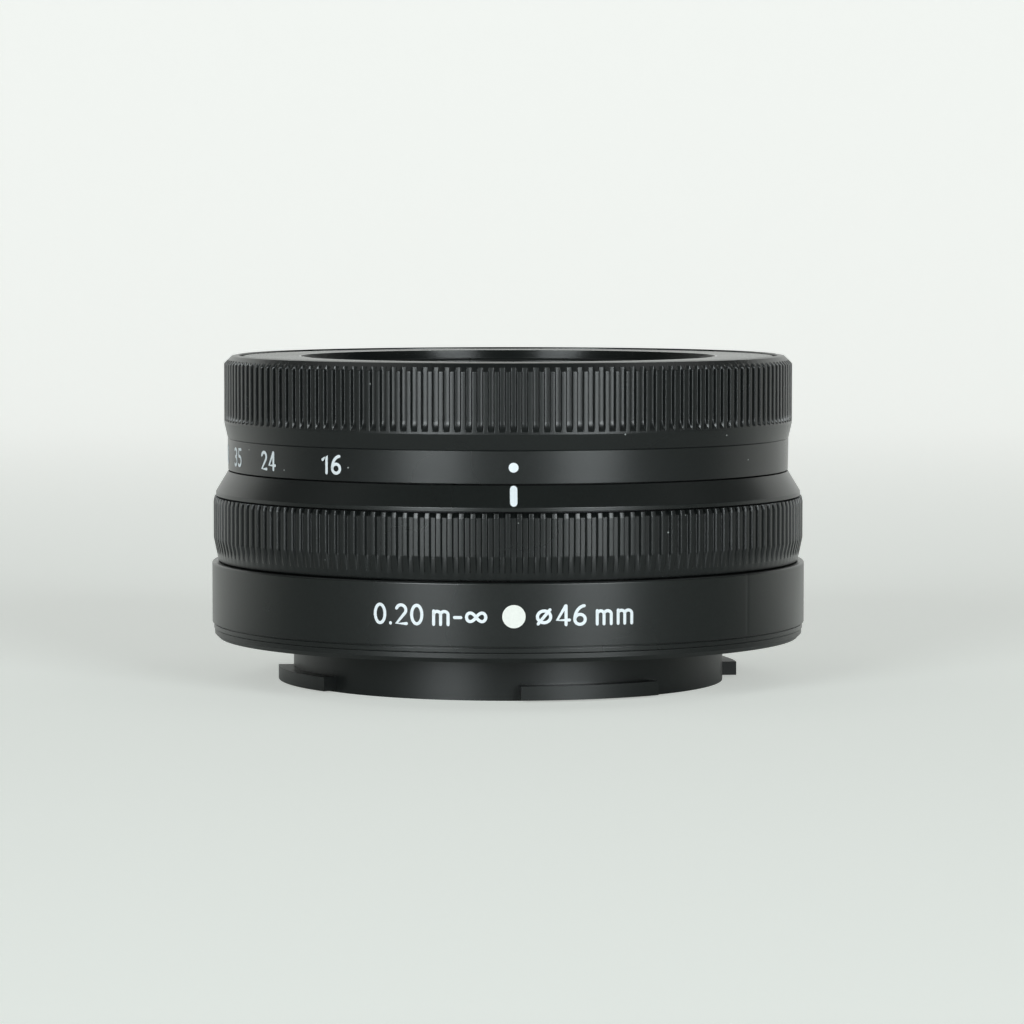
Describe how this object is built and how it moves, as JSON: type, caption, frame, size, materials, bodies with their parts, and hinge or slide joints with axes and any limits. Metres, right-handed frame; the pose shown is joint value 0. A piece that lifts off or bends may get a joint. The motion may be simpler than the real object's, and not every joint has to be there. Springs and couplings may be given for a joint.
{
  "type": "camera zoom lens",
  "caption": "Retracting zoom lens with a ribbed zoom ring, a ribbed control ring, a white index line, a filter thread and a bayonet mount; the barrels extend as the zoom ring turns.",
  "frame": {"origin": "centre of the bayonet's flange face", "axes": "+Z along the optical axis to the front, the index line faces -Y"},
  "size_m": [0.07, 0.07, 0.0385],
  "materials": {
    "shell_black": "satin black moulded plastic with fine grain",
    "grip_black": "satin black ribbed plastic",
    "inner_black": "matt black plastic",
    "white_paint": "smooth white",
    "glass": "coated optical glass",
    "steel": "bright steel",
    "alloy": "machined alloy",
    "blade_black": "black coated sheet",
    "brass": "turned brass",
    "gold": "gold plated",
    "copper": "enamelled copper wire",
    "flex_amber": "amber film",
    "board_green": "solder mask"
  },
  "bodies": {
    "housing": {"mount_bayonet": "shell_black", "mount_screws": "steel", "base_cover": "shell_black", "mount_dot": "white_paint", "main_frame": "inner_black", "index_ring": "shell_black", "control_washer": "steel", "encoder_sensor": "inner_black", "fixed_barrel": "inner_black", "barrel_screws": "steel", "barrel_retainer": "steel", "focus_shafts": "steel", "focus_motor": "steel", "rear_cell": "inner_black", "lens_9": "glass", "rear_baffle": "inner_black", "contact_block": "inner_black", "contact_pins": "gold", "contact_flex": "flex_amber", "main_board": "board_green"},
    "control": {"control_ring": "grip_black", "encoder_scale": "steel"},
    "zoom": {"zoom_ring": "grip_black", "drive_barrel": "inner_black", "drive_pins": "steel"},
    "first": {"first_barrel": "shell_black", "group2_frame": "inner_black", "iris_plate": "inner_black", "iris_cover": "inner_black", "iris_motor": "steel", "lens_4": "glass", "stabiliser_magnets": "steel", "lens_7": "glass"},
    "cam": {"cam_ring": "alloy", "cam_pins": "steel"},
    "front": {"front_barrel": "shell_black", "front_pins": "steel", "filter_ring": "shell_black", "trim_ring": "inner_black", "group1_cell": "inner_black", "lens_1": "glass", "lens_2": "glass", "lens_3": "glass"},
    "iris": {"iris_ring": "alloy"},
    "stabiliser_x": {"stabiliser_guide": "alloy"},
    "stabiliser_y": {"stabiliser_frame": "inner_black", "stabiliser_coils": "copper", "lens_5": "glass", "lens_6": "glass"},
    "focus": {"focus_frame": "inner_black", "focus_nut": "brass", "lens_8": "glass"},
    "screw": {"focus_screw": "steel"},
    "blade_1": {"iris_blade_1": "blade_black"},
    "blade_2": {"iris_blade_2": "blade_black"},
    "blade_3": {"iris_blade_3": "blade_black"},
    "blade_4": {"iris_blade_4": "blade_black"},
    "blade_5": {"iris_blade_5": "blade_black"},
    "blade_6": {"iris_blade_6": "blade_black"},
    "blade_7": {"iris_blade_7": "blade_black"}
  },
  "joints": [
    {"name": "zoom_turn", "type": "hinge", "parent": "housing", "child": "zoom", "pos_m": [0, 0, 0], "axis": [0, 0, 1], "range_deg": [0, 85]},
    {"name": "control_turn", "type": "hinge", "parent": "housing", "child": "control", "pos_m": [0, 0, 0], "axis": [0, 0, 1], "continuous": true},
    {"name": "barrel_slide", "type": "slide", "parent": "housing", "child": "first", "axis": [0, 0, 1], "range_m": [0, 0.01201]},
    {"name": "cam_turn", "type": "hinge", "parent": "first", "child": "cam", "pos_m": [0, 0, 0], "axis": [0, 0, 1], "range_deg": [0, 85.01]},
    {"name": "front_slide", "type": "slide", "parent": "first", "child": "front", "axis": [0, 0, 1], "range_m": [0, 0.01001]},
    {"name": "iris_turn", "type": "hinge", "parent": "first", "child": "iris", "pos_m": [0, 0, 0], "axis": [0, 0, 1], "range_deg": [0, 4.63]},
    {"name": "blade_turn_1", "type": "hinge", "parent": "first", "child": "blade_1", "pos_m": [0.0116, 0, 0], "axis": [0, 0, 1], "range_deg": [0, 36]},
    {"name": "blade_turn_2", "type": "hinge", "parent": "first", "child": "blade_2", "pos_m": [0.00723, 0.00907, 0], "axis": [0, 0, 1], "range_deg": [0, 36]},
    {"name": "blade_turn_3", "type": "hinge", "parent": "first", "child": "blade_3", "pos_m": [-0.00258, 0.01131, 0], "axis": [0, 0, 1], "range_deg": [0, 36]},
    {"name": "blade_turn_4", "type": "hinge", "parent": "first", "child": "blade_4", "pos_m": [-0.01045, 0.00503, 0], "axis": [0, 0, 1], "range_deg": [0, 36]},
    {"name": "blade_turn_5", "type": "hinge", "parent": "first", "child": "blade_5", "pos_m": [-0.01045, -0.00503, 0], "axis": [0, 0, 1], "range_deg": [0, 36]},
    {"name": "blade_turn_6", "type": "hinge", "parent": "first", "child": "blade_6", "pos_m": [-0.00258, -0.01131, 0], "axis": [0, 0, 1], "range_deg": [0, 36]},
    {"name": "blade_turn_7", "type": "hinge", "parent": "first", "child": "blade_7", "pos_m": [0.00723, -0.00907, 0], "axis": [0, 0, 1], "range_deg": [0, 36]},
    {"name": "stabiliser_x_slide", "type": "slide", "parent": "first", "child": "stabiliser_x", "axis": [1, 0, 0], "range_m": [-0.0005, 0.0005], "stiffness_N_per_m": 150},
    {"name": "stabiliser_y_slide", "type": "slide", "parent": "stabiliser_x", "child": "stabiliser_y", "axis": [0, 1, 0], "range_m": [-0.0005, 0.0005], "stiffness_N_per_m": 150},
    {"name": "focus_slide", "type": "slide", "parent": "housing", "child": "focus", "axis": [0, 0, 1], "range_m": [0, 0.0022]},
    {"name": "screw_turn", "type": "hinge", "parent": "housing", "child": "screw", "pos_m": [-0.0092, 0.01593, 0], "axis": [0, 0, 1], "range_deg": [-720.1, 0]}
  ],
  "couplings": [
    {"joint": "barrel_slide", "follows": "zoom_turn", "m_per_rad": 0.0080888},
    {"joint": "cam_turn", "follows": "zoom_turn", "ratio": 1},
    {"joint": "front_slide", "follows": "zoom_turn", "m_per_rad": 0.0067407},
    {"joint": "blade_turn_1", "follows": "iris_turn", "ratio": 7.7718},
    {"joint": "blade_turn_2", "follows": "iris_turn", "ratio": 7.7718},
    {"joint": "blade_turn_3", "follows": "iris_turn", "ratio": 7.7718},
    {"joint": "blade_turn_4", "follows": "iris_turn", "ratio": 7.7718},
    {"joint": "blade_turn_5", "follows": "iris_turn", "ratio": 7.7718},
    {"joint": "blade_turn_6", "follows": "iris_turn", "ratio": 7.7718},
    {"joint": "blade_turn_7", "follows": "iris_turn", "ratio": 7.7718},
    {"joint": "screw_turn", "follows": "focus_slide", "rad_per_m": -5712}
  ]
}
